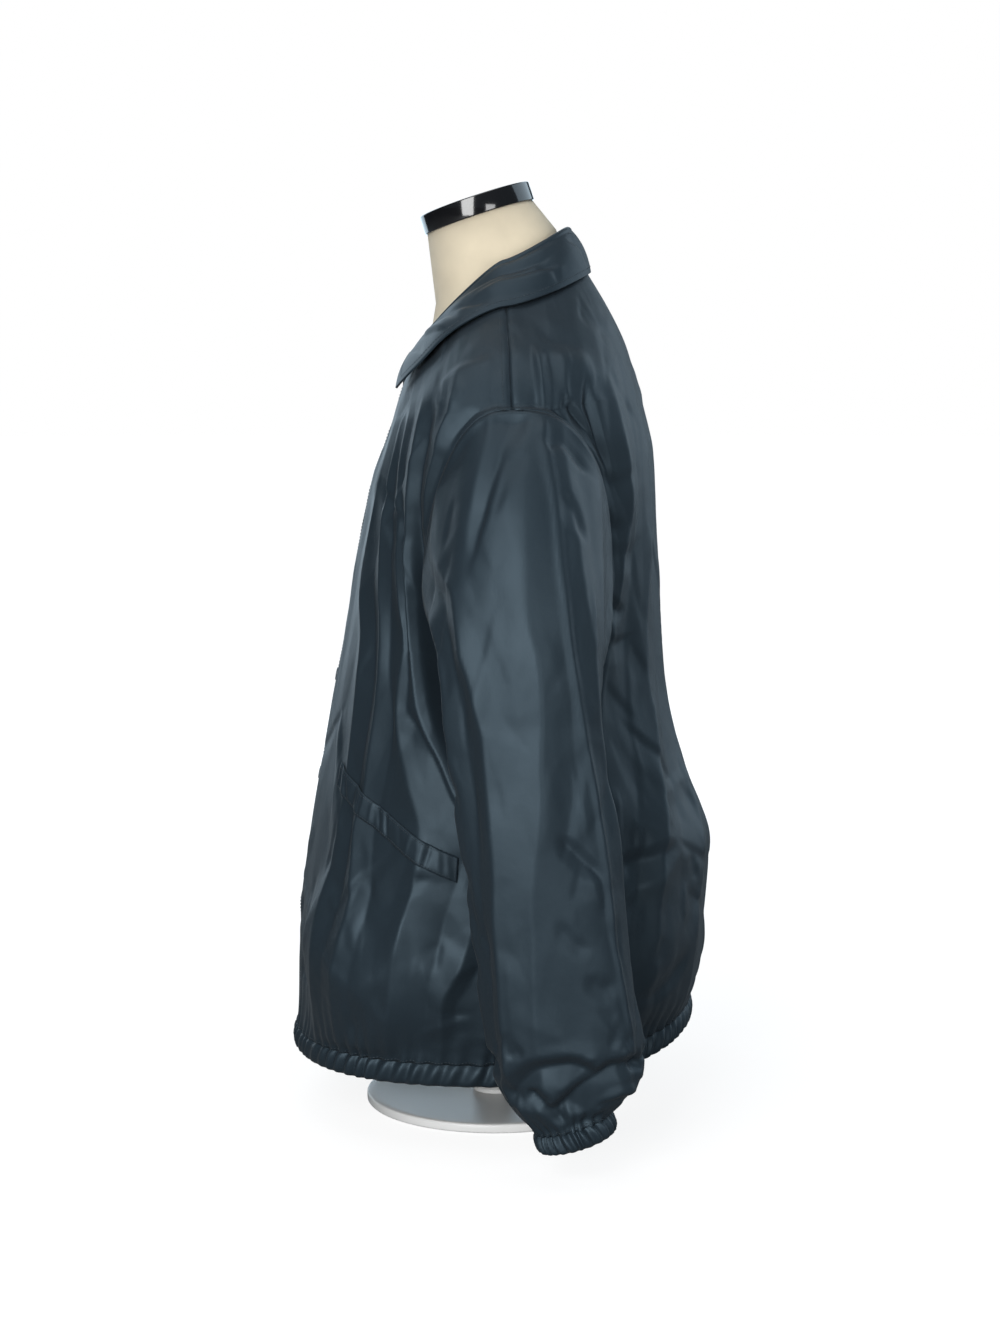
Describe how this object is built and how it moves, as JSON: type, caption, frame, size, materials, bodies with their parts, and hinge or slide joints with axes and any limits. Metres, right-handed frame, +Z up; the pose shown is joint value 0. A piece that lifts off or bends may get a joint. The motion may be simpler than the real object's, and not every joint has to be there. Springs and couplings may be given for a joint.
{
  "type": "nylon coach jacket on a dress form",
  "caption": "Hip-length nylon windbreaker with a pointed collar, snap front, slanted pockets and elastic hem and cuffs, worn by a limbless dress form on a low round stand",
  "frame": {"origin": "centre of the base's underside, on the floor", "axes": "+Z up, the jacket's front faces -Y, the wearer's left is +X"},
  "size_m": [0.6662, 0.4141, 0.9176],
  "materials": {
    "nylon": "satin navy nylon taffeta",
    "snap": "semi-gloss navy",
    "linen": "matte cream linen over foam",
    "cap": "gloss black",
    "stand": "satin white"
  },
  "bodies": {
    "root": {"front_left": "nylon", "front_right": "nylon", "back": "nylon", "sleeve_left": "nylon", "sleeve_right": "nylon", "collar": "nylon", "hem_casing": "nylon", "cuff_left": "nylon", "cuff_right": "nylon", "welt_left": "nylon", "welt_right": "nylon", "snap_1": "snap", "snap_2": "snap", "snap_3": "snap", "snap_4": "snap", "snap_5": "snap", "snap_6": "snap", "form_torso": "linen", "form_neck_cap": "cap", "form_pole": "stand", "form_base": "stand"}
  },
  "joints": []
}
